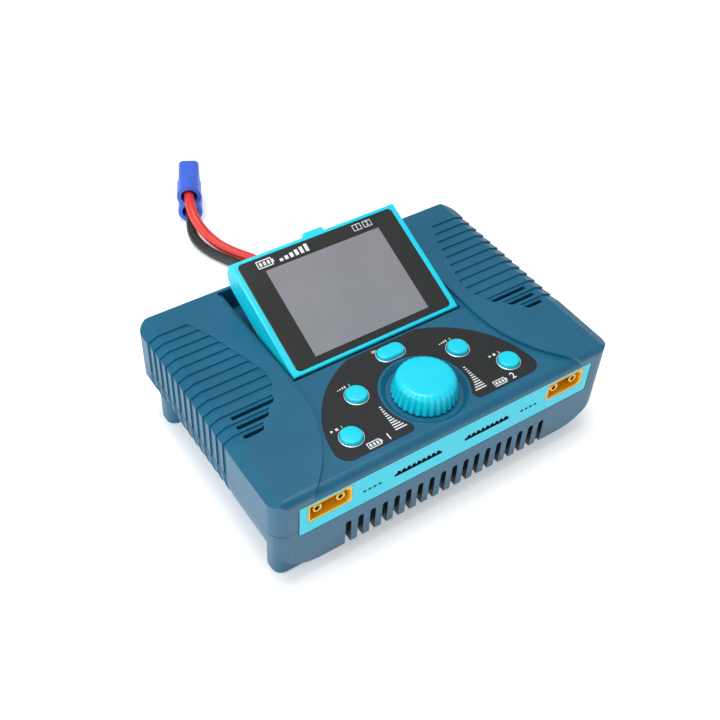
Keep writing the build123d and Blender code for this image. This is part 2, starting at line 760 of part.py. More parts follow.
with BuildPart() as button_menu:
    with BuildSketch(Plane.XY.offset(flange_low_z)):
        with Locations(menu_button):
            SlotOverall(menu_width, menu_depth)
    extrude(amount=cap_high_z - flange_low_z)
    fillet(button_menu.faces().sort_by(Axis.Z)[-1].edges(), button_height * 0.6)
    with BuildSketch(Plane.XY.offset(flange_low_z)):
        with Locations(menu_button):
            Rectangle(menu_width + 2 * button_flange, menu_depth / 2)
    extrude(amount=flange_high_z - flange_low_z)
    with BuildSketch(Plane.XY.offset(stem_low_z)):
        with Locations(menu_button):
            Circle(1.6)
    extrude(amount=flange_low_z - stem_low_z)
finish(button_menu, "button_menu")

switch_places = [*round_buttons.values(), menu_button]
plunger_high_z = stem_low_z - button_travel - 0.1
with BuildPart() as tact_switches:
    with BuildSketch(Plane.XY.offset(board_top_z)):
        with Locations(*switch_places):
            Rectangle(6.0, 6.0)
    extrude(amount=plunger_high_z - 0.7 - board_top_z)
    with BuildSketch(Plane.XY.offset(plunger_high_z - 0.7)):
        with Locations(*switch_places):
            Circle(1.7)
    extrude(amount=0.7)
finish(tact_switches, "tact_switches")

encoder_high_z = dish_floor_z - roof - 0.3
slider_r = shaft_r + 0.9
with BuildPart() as encoder_body:
    with BuildSketch(Plane.XY.offset(board_top_z)):
        with Locations((0, knob_y)):
            Rectangle(12.0, 12.0)
    extrude(amount=encoder_high_z - board_top_z)
    with BuildSketch(Plane.XY.offset(board_top_z + 1.2)):
        with Locations((0, knob_y)):
            Circle(slider_r + 0.2)
    extrude(amount=encoder_high_z, mode=Mode.SUBTRACT)
finish(encoder_body, "encoder_body")

with BuildPart() as encoder_slider:
    with BuildSketch(Plane.XY.offset(board_top_z + 2.0)):
        with Locations((0, knob_y)):
            Circle(slider_r)
            Circle(shaft_r + shaft_gap, mode=Mode.SUBTRACT)
    extrude(amount=encoder_high_z + 0.6 - board_top_z - 2.0)
finish(encoder_slider, "encoder_slider")

shaft_top_z = knob_top_z - 2.6
with BuildPart() as encoder_shaft:
    with BuildSketch(Plane.XY.offset(board_top_z + 2.2)):
        with Locations((0, knob_y)):
            Circle(shaft_r)
    extrude(amount=shaft_top_z - board_top_z - 2.2)
finish(encoder_shaft, "encoder_shaft")

with BuildPart() as selector_knob:
    with Locations((0, knob_y, knob_base_z)):
        Cone(knob_r, knob_top_r, knob_height, align=(Align.CENTER, Align.CENTER, Align.MIN))
    fillet(selector_knob.faces().sort_by(Axis.Z)[-1].edges(), knob_shoulder_r)
    with Locations((0, knob_y, knob_base_z - 1)):
        with PolarLocations(knob_r + flute_r * 0.35, flute_count):
            Cylinder(flute_r, knob_height - knob_shoulder_r + 0.6,
                     align=(Align.CENTER, Align.CENTER, Align.MIN), mode=Mode.SUBTRACT)
    with BuildSketch(Plane.XY.offset(knob_base_z)):
        with Locations((0, knob_y)):
            Circle(knob_r - 3.4)
            Circle(shaft_r + 2.2, mode=Mode.SUBTRACT)
    extrude(amount=knob_height - 3.2, mode=Mode.SUBTRACT)
    with BuildSketch(Plane.XY.offset(knob_base_z)):
        with Locations((0, knob_y)):
            Circle(shaft_r)
    extrude(amount=shaft_top_z - knob_base_z, mode=Mode.SUBTRACT)
finish(selector_knob, "selector_knob")

with BuildPart() as control_board:
    with BuildSketch(Plane.XY.offset(control_board_z)):
        with Locations((0, control_posts[1][1] - 3)):
            Rectangle(2 * control_board_half, control_posts[0][1] - control_posts[1][1] + 6,
                      align=(Align.CENTER, Align.MIN))
        with Locations(*post_places()):
            Circle(1.1, mode=Mode.SUBTRACT)
    extrude(amount=board_thickness)
finish(control_board, "control_board")

with BuildPart() as control_board_screws:
    with BuildSketch(Plane.XY.offset(control_board_z - 1.2)):
        with Locations(*post_places()):
            Circle(1.9)
    extrude(amount=1.2)
    with BuildSketch(Plane.XY.offset(control_board_z - 1.2)):
        with Locations(*post_places()):
            Circle(1.0)
    extrude(amount=board_thickness + 5.0)
finish(control_board_screws, "control_board_screws")

# ==== display ==================================================================================================
tilt = radians(display_tilt)
display_plane = Plane(origin=(0, hinge_y, hinge_z), x_dir=(1, 0, 0), z_dir=(0, -sin(tilt), cos(tilt)))
display_side = Plane(origin=(0, hinge_y, hinge_z), x_dir=(0, cos(tilt), sin(tilt)), z_dir=(1, 0, 0))
split_w = display_rise - bezel_depth
glass_middle = (glass_low + glass_high) / 2 - display_front
lcd_middle = lcd_low + lcd_length / 2 - display_front


def display_slab(low, high, inset):
    """A slice of the display's body, between two depths measured along its own normal."""
    with BuildPart() as slab:
        with BuildSketch(display_side) as profile:
            with Locations((-display_front, display_rise - display_thickness)):
                Rectangle(display_length, display_thickness, align=(Align.MIN, Align.MIN))
            heel = profile.vertices().group_by(Axis.X)[-1].sort_by(Axis.Y)[0]
            toe = profile.vertices().group_by(Axis.X)[0].sort_by(Axis.Y)[0]
            fillet(heel, display_heel_r)
            fillet(toe, display_edge_r)
            if inset:
                offset(amount=-inset)
            with Locations((0, (low + high) / 2)):
                Rectangle(4 * display_length, high - low, mode=Mode.INTERSECT)
        extrude(amount=display_width / 2 - inset, both=True)
    return slab.part


with BuildPart() as display_bezel:
    add(display_slab(split_w, display_rise, 0))
    with BuildSketch(display_plane.offset(display_rise - tab_thickness)):
        with Locations((0, display_length - display_front)):
            RectangleRounded(2 * tab_half_width, 2 * tab_reach, 1.2)
    extrude(amount=tab_thickness)
    fillet(display_bezel.faces().sort_by(Axis((0, 0, 0), display_plane.z_dir))[-1].edges(), display_edge_r * 0.7)
    with BuildSketch(display_plane.offset(display_rise - glass_thickness)):
        with Locations((0, glass_middle)):
            RectangleRounded(glass_width, glass_high - glass_low, glass_r)
    extrude(amount=3, mode=Mode.SUBTRACT)
    with BuildSketch(display_plane.offset(split_w)):
        with Locations((0, lcd_middle)):
            Rectangle(lcd_width + 2 * lcd_rim + 0.4, lcd_length + 2 * lcd_rim + 0.4)
    extrude(amount=display_rise, mode=Mode.SUBTRACT)
finish(display_bezel, "display_bezel")

hinge_block = 7.0
with BuildPart() as display_back:
    add(display_slab(display_rise - display_thickness, split_w, 0))
    add(display_slab(display_rise - display_thickness, split_w, display_wall), mode=Mode.SUBTRACT)
    for sign in mirror_x:
        with BuildSketch(display_side.offset(sign * (display_width / 2 - 1))):
            with Locations((0, split_w)):
                Rectangle(3.6, split_w - display_rise + display_thickness - 1, align=(Align.CENTER, Align.MAX))
        extrude(amount=-sign * (hinge_block - 1))
    with BuildSketch(display_side):
        Circle(hinge_pin_r + hinge_gap)
    extrude(amount=display_width, both=True, mode=Mode.SUBTRACT)
    with BuildSketch(display_plane.offset(split_w)):
        with GridLocations(display_width - 10, 1, 2, 1):
            with Locations((0, display_length - display_front - 5), (0, 9.0)):
                Circle(2.2)
    extrude(amount=-5.0)
finish(display_back, "display_back")

with BuildPart() as display_glass:
    with BuildSketch(display_plane.offset(display_rise - glass_thickness)):
        with Locations((0, glass_middle)):
            RectangleRounded(glass_width - 0.1, glass_high - glass_low - 0.1, glass_r)
    extrude(amount=glass_thickness - 0.1)
finish(display_glass, "display_glass")

lcd_top = display_rise - glass_thickness
with BuildPart() as lcd_panel:
    with BuildSketch(display_plane.offset(lcd_top)):
        with Locations((0, lcd_middle)):
            Rectangle(lcd_width + 2 * lcd_rim, lcd_length + 2 * lcd_rim)
    extrude(amount=-lcd_thickness)
finish(lcd_panel, "lcd_panel")

with BuildPart() as display_board:
    with BuildSketch(display_plane.offset(lcd_top - lcd_thickness)):
        with Locations((0, lcd_middle)):
            Rectangle(lcd_width + 2 * lcd_rim, lcd_length + 2 * lcd_rim)
    extrude(amount=-1.2)
finish(display_board, "display_board")

with BuildPart() as hinge_pins:
    for sign in mirror_x:
        with BuildSketch(Plane.YZ.offset(sign * (display_width / 2 + recess_gap + tub_wall))):
            with Locations((hinge_y, hinge_z)):
                Circle(hinge_pin_r)
        extrude(amount=-sign * (recess_gap + tub_wall + hinge_block - 0.5))
finish(hinge_pins, "hinge_pins")

# ==== fans =======================================================================================================
for side, sign in (("left", -1), ("right", 1)):
    centre = (sign * fan_x, fan_z)
    with BuildPart() as fan_frame:
        with BuildSketch(Plane.XZ.offset(-fan_rear_y)):
            with Locations(centre):
                RectangleRounded(fan_size, fan_size, 2.5)
                Circle(fan_duct_r, mode=Mode.SUBTRACT)
                with GridLocations(fan_screw_pitch, fan_screw_pitch, 2, 2):
                    Circle(1.2, mode=Mode.SUBTRACT)
        extrude(amount=fan_depth)
        with BuildSketch(Plane.XZ.offset(-fan_rear_y + fan_depth)):
            with Locations(centre):
                Circle(fan_hub_r)
                with PolarLocations(fan_duct_r / 2 + 1, 4, start_angle=45, rotate=True):
                    Rectangle(fan_duct_r, 2.2)
                Circle(1.0 + shaft_gap, mode=Mode.SUBTRACT)
        extrude(amount=-1.2)
    finish(fan_frame, f"fan_frame_{side}")

    rotor_y = fan_rear_y - (fan_depth - 1.2) / 2
    with BuildPart() as fan_rotor:
        with BuildSketch(Plane.XZ.offset(-fan_rear_y + 0.6)):
            with Locations(centre):
                Circle(fan_hub_r)
        extrude(amount=fan_depth - 2.4)
        fillet(fan_rotor.faces().sort_by(Axis.Y)[-1].edges(), 0.6)
        with BuildSketch(Plane.XZ.offset(-fan_rear_y + fan_depth - 2)):
            with Locations(centre):
                Circle(1.0)
        extrude(amount=1.8)
        for index in range(fan_blades):
            turn = 2 * pi * index / fan_blades
            radial = Vector(cos(turn), 0, sin(turn))
            tangent = Vector(-sin(turn), 0, cos(turn))
            pitch = radians(fan_blade_pitch)
            chord = tangent * cos(pitch) + Vector(0, 1, 0) * sin(pitch)
            middle = Vector(sign * fan_x, rotor_y, fan_z) + radial * ((fan_blade_r + fan_hub_r - 1) / 2)
            with BuildSketch(Plane(origin=middle, x_dir=radial, z_dir=radial.cross(chord))):
                Rectangle(fan_blade_r - fan_hub_r + 1, fan_blade_chord)
            extrude(amount=fan_blade_thickness / 2, both=True)
    finish(fan_rotor, f"fan_rotor_{side}")

with BuildPart() as fan_screws:
    with BuildSketch(Plane.XZ.offset(-half_depth + 0.1)):
        with Locations(*fan_screw_places()):
            Circle(2.2)
    extrude(amount=1.2)
    with BuildSketch(Plane.XZ.offset(-half_depth + 0.1)):
        with Locations(*fan_screw_places()):
            Circle(1.2)
    extrude(amount=wall + fan_depth - 0.6)
finish(fan_screws, "fan_screws")

# ==== main board and what stands on it ===============================================================================
standoff_places = [(sx * standoff_x, sy * standoff_y) for sx in mirror_x for sy in (-1, 1)]
floor_z = base_z + wall
with BuildPart() as main_board:
    with BuildSketch(Plane.XY.offset(main_board_z)):
        RectangleRounded(main_board_width, main_board_depth, 3)
        with Locations(*standoff_places):
            Circle(1.6, mode=Mode.SUBTRACT)
    extrude(amount=board_thickness)
finish(main_board, "main_board")

with BuildPart() as board_standoffs:
    with BuildSketch(Plane.XY.offset(floor_z)):
        with Locations(*standoff_places):
            RegularPolygon(3.0, 6)
            Circle(1.5, mode=Mode.SUBTRACT)
    extrude(amount=main_board_z - floor_z)
finish(board_standoffs, "board_standoffs")

with BuildPart() as board_screws:
    with BuildSketch(Plane.XY.offset(main_top_z)):
        with Locations(*standoff_places):
            Circle(2.8)
    extrude(amount=1.8)
    with BuildSketch(Plane.XY.offset(main_top_z)):
        with Locations(*standoff_places):
            Circle(1.5)
    extrude(amount=floor_z + 0.4 - main_top_z)
finish(board_screws, "board_screws")

inductor_r = 10.5
inductor_x = main_board_width / 2 - 16.0
heatsink_fins = 11
heatsink_size = (2 * (inductor_x - inductor_r - 6.5), 34.0)
with BuildPart() as heatsink:
    with BuildSketch(Plane.XY.offset(main_top_z)):
        with Locations((0, 6)):
            Rectangle(*heatsink_size)
    extrude(amount=3.0)
    with BuildSketch(Plane.XY.offset(main_top_z + 3.0)):
        with Locations((0, 6)):
            with GridLocations(heatsink_size[0] / heatsink_fins, 1, heatsink_fins, 1):
                Rectangle(1.6, heatsink_size[1])
    extrude(amount=14.0)
finish(heatsink, "heatsink")

inductor_places = [(sx * inductor_x, y) for sx in mirror_x for y in (-16.0, 10.0)]
with BuildPart() as power_inductors:
    with BuildSketch(Plane.XY.offset(main_top_z)):
        with Locations(*inductor_places):
            Circle(inductor_r)
            Circle(inductor_r - 6.0, mode=Mode.SUBTRACT)
    extrude(amount=9.0)
    fillet(power_inductors.edges().filter_by(GeomType.CIRCLE).group_by(Axis.Z)[-1], 2.0)
finish(power_inductors, "power_inductors")

capacitor_y = 11.0 - main_board_depth / 2
capacitor_places = [(x, capacitor_y) for x in (-24.0, -12.0, 0.0, 12.0, 24.0)]
with BuildPart() as filter_capacitors:
    with BuildSketch(Plane.XY.offset(main_top_z)):
        with Locations(*capacitor_places):
            Circle(5.0)
    extrude(amount=13.0)
    fillet(filter_capacitors.faces().group_by(Axis.Z)[-1].edges(), 0.8)
finish(filter_capacitors, "filter_capacitors")

# ==== rear port and input cable ==========================================================================================
with BuildPart() as usb_port:
    with BuildSketch(Plane.XZ.offset(-half_depth + 0.2)):
        with Locations((usb_x, usb_z)):
            RectangleRounded(9.2, 3.4, 1.4)
    extrude(amount=7.6)
    with BuildSketch(Plane.XZ.offset(-half_depth + 0.2)):
        with Locations((usb_x, usb_z)):
            RectangleRounded(8.4, 2.6, 1.1)
            Rectangle(6.6, 0.7, mode=Mode.SUBTRACT)
    extrude(amount=6.4, mode=Mode.SUBTRACT)
finish(usb_port, "usb_port")

lead_places = [(gland_x - lead_spacing / 2, gland_z), (gland_x + lead_spacing / 2, gland_z)]
with BuildPart() as cable_gland:
    with BuildSketch(Plane.XZ.offset(-half_depth + wall)):
        with Locations((gland_x, gland_z)):
            SlotOverall(lead_spacing + lead_d + 3, lead_d + 3)
    extrude(amount=-wall - gland_reach)
    with BuildSketch(Plane.XZ.offset(-half_depth)):
        with Locations((gland_x, gland_z)):
            SlotOverall(lead_spacing + lead_d + 6, lead_d + 6)
    extrude(amount=-1.6)
    fillet(cable_gland.faces().sort_by(Axis.Y)[-1].edges(), 0.8)
    with BuildSketch(Plane.XZ.offset(-half_depth + wall)):
        with Locations(*lead_places):
            Circle(lead_d / 2)
    extrude(amount=-wall - gland_reach, mode=Mode.SUBTRACT)
finish(cable_gland, "cable_gland")


def corner_radii(points):
    """The largest easy bend at each corner of a route: 0.45 of the shorter run over tan(half the turn)."""
    corners = [Vector(*point) for point in points]
    radii = []
    for before, corner, after in zip(corners, corners[1:], corners[2:]):
        turn = radians((corner - before).get_angle(after - corner))
        shorter = min((corner - before).length, (after - corner).length)
        radii.append(0.45 * shorter / tan(turn / 2))
    return radii


for lead_name, route in (("red_lead", RED_ROUTE), ("black_lead", BLACK_ROUTE)):
    lead_radii = corner_radii(route)
    with BuildPart() as lead:
        with BuildLine() as path:
            FilletPolyline(*route, radius=lead_radii)
        with BuildSketch(Plane(origin=path.line @ 0, z_dir=path.line % 0)):
            Circle(lead_d / 2)
        sweep()
    finish(lead, lead_name)
    tube_length = sum(edge.length for edge in path.edges())
    section = pi * lead_d ** 2 / 4
    print(lead_name, "length", round(tube_length, 1), "volume ratio",
          round(lead.part.volume / section / tube_length, 4), "radii", [round(radius, 1) for radius in lead_radii])

nose_x, nose_y = plug_nose
plug_plane = Plane(origin=(plug_rear[0], plug_rear[1], plug_lobe_r), x_dir=(-nose_y, nose_x, 0),
                   z_dir=(nose_x, nose_y, 0))
plug_holes = [(0, 0), (0, plug_pitch)]
with BuildPart() as plug_housing:
    with BuildSketch(plug_plane):
        with Locations(*plug_holes):
            Circle(plug_lobe_r)
        with Locations((0, plug_pitch / 2)):
            Rectangle(plug_lobe_r * 1.5, plug_pitch / 2)
    extrude(amount=plug_cup_length)
    with BuildSketch(plug_plane.offset(plug_cup_length)):
        with Locations((0, plug_pitch / 2)):
            RectangleRounded(plug_nose_width, plug_pitch + 2 * plug_lobe_r - 2.4, 3.0)
    extrude(amount=plug_length - plug_cup_length)
    nose_face = plug_housing.faces().sort_by(Axis((0, 0, 0), (nose_x, nose_y, 0)))[-1]
    chamfer(nose_face.edges(), 1.2)
    with BuildSketch(plug_plane):
        with Locations(*plug_holes):
            Circle(plug_cup_r)
    extrude(amount=plug_cup_depth, mode=Mode.SUBTRACT)
    with BuildSketch(plug_plane):
        with Locations(*plug_holes):
            Circle(contact_r)
    extrude(amount=plug_length, mode=Mode.SUBTRACT)
finish(plug_housing, "plug_housing")

with BuildPart() as plug_contacts:
    with BuildSketch(plug_plane.offset(3.0)):
        with Locations(*plug_holes):
            Circle(contact_r)
    extrude(amount=plug_length - 5.0)
    with BuildSketch(plug_plane.offset(plug_length - 2.0)):
        with Locations(*plug_holes):
            Circle(contact_r - 0.6)
    extrude(amount=-10.0, mode=Mode.SUBTRACT)
finish(plug_contacts, "plug_contacts")
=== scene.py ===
# %% [markdown]
# # A two-channel balance charger, finished in Blender
# The engineering model arrives as a fixed frame: every piece already has its real size and place in
# metres. This lesson gives those pieces their look. Flat film, rubber, moulded plastic, gold and silicone
# each get a surface of their own, and the parts that a hand touches are modelled again in finer shape.

import json
from math import atan2, cos, pi, radians, sin

import bmesh
import bpy
from mathutils import Matrix, Vector


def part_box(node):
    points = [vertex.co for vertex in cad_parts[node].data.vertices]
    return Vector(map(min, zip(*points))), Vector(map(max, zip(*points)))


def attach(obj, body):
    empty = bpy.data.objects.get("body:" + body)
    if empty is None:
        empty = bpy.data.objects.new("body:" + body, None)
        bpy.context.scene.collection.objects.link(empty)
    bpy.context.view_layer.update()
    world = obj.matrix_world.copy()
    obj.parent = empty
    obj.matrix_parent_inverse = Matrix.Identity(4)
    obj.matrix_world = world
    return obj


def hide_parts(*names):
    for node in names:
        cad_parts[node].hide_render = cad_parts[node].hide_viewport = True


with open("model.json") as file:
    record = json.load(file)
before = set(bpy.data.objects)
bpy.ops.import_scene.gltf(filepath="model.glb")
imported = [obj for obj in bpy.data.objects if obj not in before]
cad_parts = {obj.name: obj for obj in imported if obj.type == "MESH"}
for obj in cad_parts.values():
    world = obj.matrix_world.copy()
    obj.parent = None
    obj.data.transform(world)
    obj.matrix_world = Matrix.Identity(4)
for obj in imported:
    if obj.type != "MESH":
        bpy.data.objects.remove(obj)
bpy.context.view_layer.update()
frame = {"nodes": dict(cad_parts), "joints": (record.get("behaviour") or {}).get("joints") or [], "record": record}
nodes = frame["nodes"]
MM = 0.001
print("pieces in the frame:", len(nodes))

# %% [markdown]
# ## Camera
# The charger is seen from above its front left corner. A lens of about 53 mm on a full frame gives the
# mild perspective, and the camera is rolled by a few degrees, so the axes of the view are built by hand.

# %% Camera
camera_place = Vector((-0.2026, -0.2637, 0.3761))
camera_target = Vector((-0.0141, -0.0096, 0.054))
camera_roll = radians(3.7)
bpy.ops.object.camera_add()
camera = bpy.context.object
camera.data.lens = 52.6
camera.data.sensor_width = 36.0
back = (camera_place - camera_target).normalized()
level_right = Vector((0, 0, 1)).cross(back).normalized()
level_up = back.cross(level_right)
right = level_right * cos(camera_roll) + level_up * sin(camera_roll)
up = level_up * cos(camera_roll) - level_right * sin(camera_roll)
turn = Matrix((right, up, back)).transposed().to_4x4()
camera.matrix_world = Matrix.Translation(camera_place) @ turn
bpy.context.scene.camera = camera

# %% [markdown]
# ## Studio
# A seamless white table and large soft lights. The main softbox stands on the left, which is why the
# left side wall is the brightest part of the dark blue case, and a long one above draws pale highlights.

# %% Studio
def soft_light(name, place, target, width, height, watts):
    """One softbox, aimed at a point."""
    bpy.ops.object.light_add(type="AREA", location=place)
    lamp = bpy.context.object
    lamp.name = name
    lamp.data.shape = "RECTANGLE"
    lamp.data.size = width
    lamp.data.size_y = height
    lamp.data.energy = watts
    aim = (Vector(place) - Vector(target)).to_track_quat("Z", "Y")
    lamp.rotation_euler = aim.to_euler()
    return lamp


soft_light("left_softbox", (-1.1, -0.1, 0.5), (0, 0, 0.03), 0.9, 0.6, 6.0)
soft_light("top_softbox", (-0.1, 0.1, 1.25), (0, 0, 0.03), 0.6, 0.6, 9.6)
world = bpy.data.worlds.new("white_studio")
world.use_nodes = True
world.node_tree.nodes["Background"].inputs["Color"].default_value = (1, 1, 1, 1)
world.node_tree.nodes["Background"].inputs["Strength"].default_value = 0.4
bpy.context.scene.world = world
bpy.context.scene.view_settings.view_transform = "Standard"

bpy.ops.mesh.primitive_plane_add(size=6.0, location=(0, 0, 0))
floor = bpy.context.object
floor.name = "studio_floor"

# %% [markdown]
# ## Colour and node helpers
# Colours are written as sRGB hex, as a colour picker shows them, and one function makes them linear.
# One more adds a shader node: plain settings first, then the sockets that it reads.

# %% Helpers for materials
def linear(hex_colour):
    """'#3b7090' as linear RGBA."""
    parts = [int(hex_colour[i:i + 2], 16) / 255 for i in (1, 3, 5)]
    return tuple(p / 12.92 if p <= 0.04045 else ((p + 0.055) / 1.055) ** 2.4 for p in parts) + (1.0,)


def add_node(material, kind, settings, **links):
    """A node with its settings: names of sockets or of properties. A link is socket=(node, output)."""
    made = material.node_tree.nodes.new("ShaderNode" + kind)
    for key, value in settings.items():
        if isinstance(key, int) or key in made.inputs.keys():
            made.inputs[key].default_value = value
        else:
            setattr(made, key, value)
    for key, (source, output) in links.items():
        socket = made.inputs[int(key[1:])] if key[0] == "_" else made.inputs[key.replace("_", " ")]
        material.node_tree.links.new(source.outputs[output], socket)
    return made


def new_material(name, **settings):
    """A named material, its Principled shader and its object coordinates."""
    material = bpy.data.materials.new(name)
    material.use_nodes = True
    shader = material.node_tree.nodes["Principled BSDF"]
    for key, value in settings.items():
        shader.inputs[key.replace("_", " ")].default_value = value
    place = add_node(material, "TexCoord", {})
    return material, shader, place


def connect(material, source, output, shader, socket):
    material.node_tree.links.new(source.outputs[output], shader.inputs[socket])


# %% [markdown]
# ## Floor
# The table is matt white acrylic, lit faintly from below, as product photographers use it to thin out the
# shadows. A trace of mottle keeps it from looking dead.

# %% Floor material
card, card_shader, card_place = new_material("white_light_table", Roughness=0.85, Emission_Strength=0.32)
card_shader.inputs["Emission Color"].default_value = (1, 1, 1, 1)
mottle = add_node(card, "TexNoise", {"Scale": 3.0, "Detail": 2.0}, Vector=(card_place, "Object"))
card_tint = add_node(card, "ValToRGB", {}, Fac=(mottle, "Fac"))
card_tint.color_ramp.elements[0].color = linear("#fbfbfb")
card_tint.color_ramp.elements[1].color = linear("#ffffff")
connect(card, card_tint, "Color", card_shader, "Base Color")
floor.data.materials.append(card)

# %% [markdown]
# ## Moulded plastics
# The case is ABS from a tool with a fine spark texture: a tiny orange-peel grain that spreads every
# highlight. The same recipe, smoother and glossier, serves the turquoise parts. The grain is given in
# millimetres. Noise scale is cycles per metre, so a 0.35 mm grain is a scale of about 2900.

# %% Moulded plastic
def moulded_plastic(name, low, high, roughness, grain_mm, relief_mm, spread=0.08, **settings):
    """Moulded plastic between two close shades, with a sparked grain of a real size."""
    material, shader, place = new_material(name, Roughness=roughness, IOR=1.53, **settings)
    cloud = add_node(material, "TexNoise", {"Scale": 35.0, "Detail": 3.0}, Vector=(place, "Object"))
    shade = add_node(material, "ValToRGB", {}, Fac=(cloud, "Fac"))
    shade.color_ramp.elements[0].position = 0.3
    shade.color_ramp.elements[0].color = linear(low)
    shade.color_ramp.elements[1].position = 0.7
    shade.color_ramp.elements[1].color = linear(high)
    connect(material, shade, "Color", shader, "Base Color")
    grain = add_node(material, "TexNoise", {"Scale": 1.0 / (grain_mm * MM), "Detail": 2.0},
                     Vector=(place, "Object"))
    sheen_range = {"From Min": 0.3, "From Max": 0.7, "To Min": roughness - spread, "To Max": roughness + spread}
    sheen = add_node(material, "MapRange", sheen_range, Value=(cloud, "Fac"))
    connect(material, sheen, "Result", shader, "Roughness")
    bump = add_node(material, "Bump", {"Strength": 0.6, "Distance": relief_mm * MM}, Height=(grain, "Fac"))
    connect(material, bump, "Normal", shader, "Normal")
    return material


case_abs = moulded_plastic("satin_abs_deep_teal", "#075c7c", "#096283", 0.4, 0.35, 0.012, 0.03)
cyan_abs = moulded_plastic("semi_gloss_abs_turquoise", "#00d2ec", "#04d8f0", 0.34, 0.5, 0.004)
black_abs = moulded_plastic("black_abs", "#17181a", "#1c1d20", 0.45, 0.4, 0.01)
yellow_nylon = moulded_plastic("yellow_nylon", "#ffbc14", "#ffc21c", 0.36, 0.4, 0.004)
blue_nylon = moulded_plastic("blue_nylon", "#3a63d8", "#406ae0", 0.34, 0.4, 0.005)

# %% [markdown]
# The two shells close on a level plane with a fine gap between them. A thin band round that height darkens
# the plastic: painted shade of the gap. It reads the same object coordinates as the grain, so it stays on the seam.

# %% Painted shade in the seam of the case
seam_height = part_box("top_shell")[0].z
case_shader = case_abs.node_tree.nodes["Principled BSDF"]
case_shade = case_shader.inputs["Base Color"].links[0].from_node
case_place = add_node(case_abs, "TexCoord", {})
case_axes = add_node(case_abs, "SeparateXYZ", {}, Vector=(case_place, "Object"))
from_seam = add_node(case_abs, "Math", {"operation": "SUBTRACT", 1: seam_height}, _0=(case_axes, "Z"))
seam_gap = add_node(case_abs, "Math", {"operation": "ABSOLUTE"}, _0=(from_seam, "Value"))
seam_shade_range = {"From Min": 0.2 * MM, "From Max": 0.36 * MM, "To Min": 1.0, "To Max": 0.0}
seam = add_node(case_abs, "MapRange", seam_shade_range, Value=(seam_gap, "Value"))
# painted shade: a dark teal is mixed into the case colour along the seam
seam_shade_colour = add_node(case_abs, "Mix", {"data_type": "RGBA", "blend_type": "MIX", 7: linear("#031a24")},
                  _0=(seam, "Result"), _6=(case_shade, "Color"))
case_abs.node_tree.links.new(seam_shade_colour.outputs[2], case_shader.inputs["Base Color"])

# %% [markdown]
# ## Rubber and silicone
# Foot pads are dull rubber. The leads are silicone: soft, a little waxy, with a shallow sheen.

# %% Rubber and silicone
rubber = moulded_plastic("moulded_rubber", "#1a1a1a", "#202020", 0.75, 0.5, 0.02)
silicone_red = moulded_plastic("silicone_red", "#e02f2a", "#e63a33", 0.42, 0.6, 0.004, 0.05)
silicone_black = moulded_plastic("silicone_black", "#1d2024", "#24282c", 0.42, 0.6, 0.004, 0.05)

# %% [markdown]
# ## Metals
# Gold contacts, steel screws, aluminium fins and the tinned shell of the rear port. A turned or drawn
# metal has fine lines, drawn here coarse enough to show.

# %% Metals
def metal(name, colour, roughness, line_mm):
    """A bare metal with faint drawing lines."""
    material, shader, place = new_material(name, Metallic=1.0, Roughness=roughness)
    stretch = add_node(material, "Mapping", {"Scale": (1, 0.05, 1)}, Vector=(place, "Object"))
    lines = add_node(material, "TexNoise", {"Scale": 1 / (line_mm * MM), "Detail": 2.0},
                     Vector=(stretch, "Vector"))
    tint = add_node(material, "ValToRGB", {}, Fac=(lines, "Fac"))
    tint.color_ramp.elements[0].color = tuple(c * 0.8 for c in linear(colour)[:3]) + (1.0,)
    tint.color_ramp.elements[1].color = linear(colour)
    connect(material, tint, "Color", shader, "Base Color")
    bump = add_node(material, "Bump", {"Strength": 0.3, "Distance": 0.004 * MM}, Height=(lines, "Fac"))
    connect(material, bump, "Normal", shader, "Normal")
    return material


gold = metal("gold_plated_brass", "#e8bd6a", 0.25, 0.3)
steel = metal("zinc_plated_steel", "#b4b6ba", 0.32, 0.25)
tin = metal("tinned_steel", "#c3c6c9", 0.28, 0.3)
aluminium = metal("extruded_aluminium", "#c9ccd0", 0.4, 0.4)
brass = metal("turned_brass", "#c9a052", 0.3, 0.25)
chrome = metal("satin_silver_lacquer", "#f2f6f8", 0.42, 0.6)

# %% [markdown]
# ## Film, glass, screen and board
# The control overlay is polyester film with a fine matt weave. The display's cover glass is printed grey
# black on its back, and the switched-off screen under it is a plain mid grey.

# %% Film, glass, screen and board
film = moulded_plastic("matt_polyester_film", "#07090c", "#12151a", 0.62, 0.45, 0.03)
printed_glass = moulded_plastic("back_printed_cover_glass", "#282929", "#2b2c2c", 0.16, 6.0, 0.001, 0.02)
screen = moulded_plastic("switched_off_screen", "#84868c", "#8c8e94", 0.22, 8.0, 0.001, 0.02)
solder_mask = moulded_plastic("green_solder_mask", "#0f4a26", "#14562c", 0.35, 1.5, 0.02)
ferrite = moulded_plastic("powder_coated_core", "#1f231f", "#2a2e28", 0.6, 0.3, 0.03)
sleeve = moulded_plastic("shrink_sleeve", "#15163a", "#1a1b44", 0.35, 1.0, 0.01)
white_ink = moulded_plastic("white_screen_print", "#dfe3e6", "#eceff1", 0.45, 0.3, 0.002)
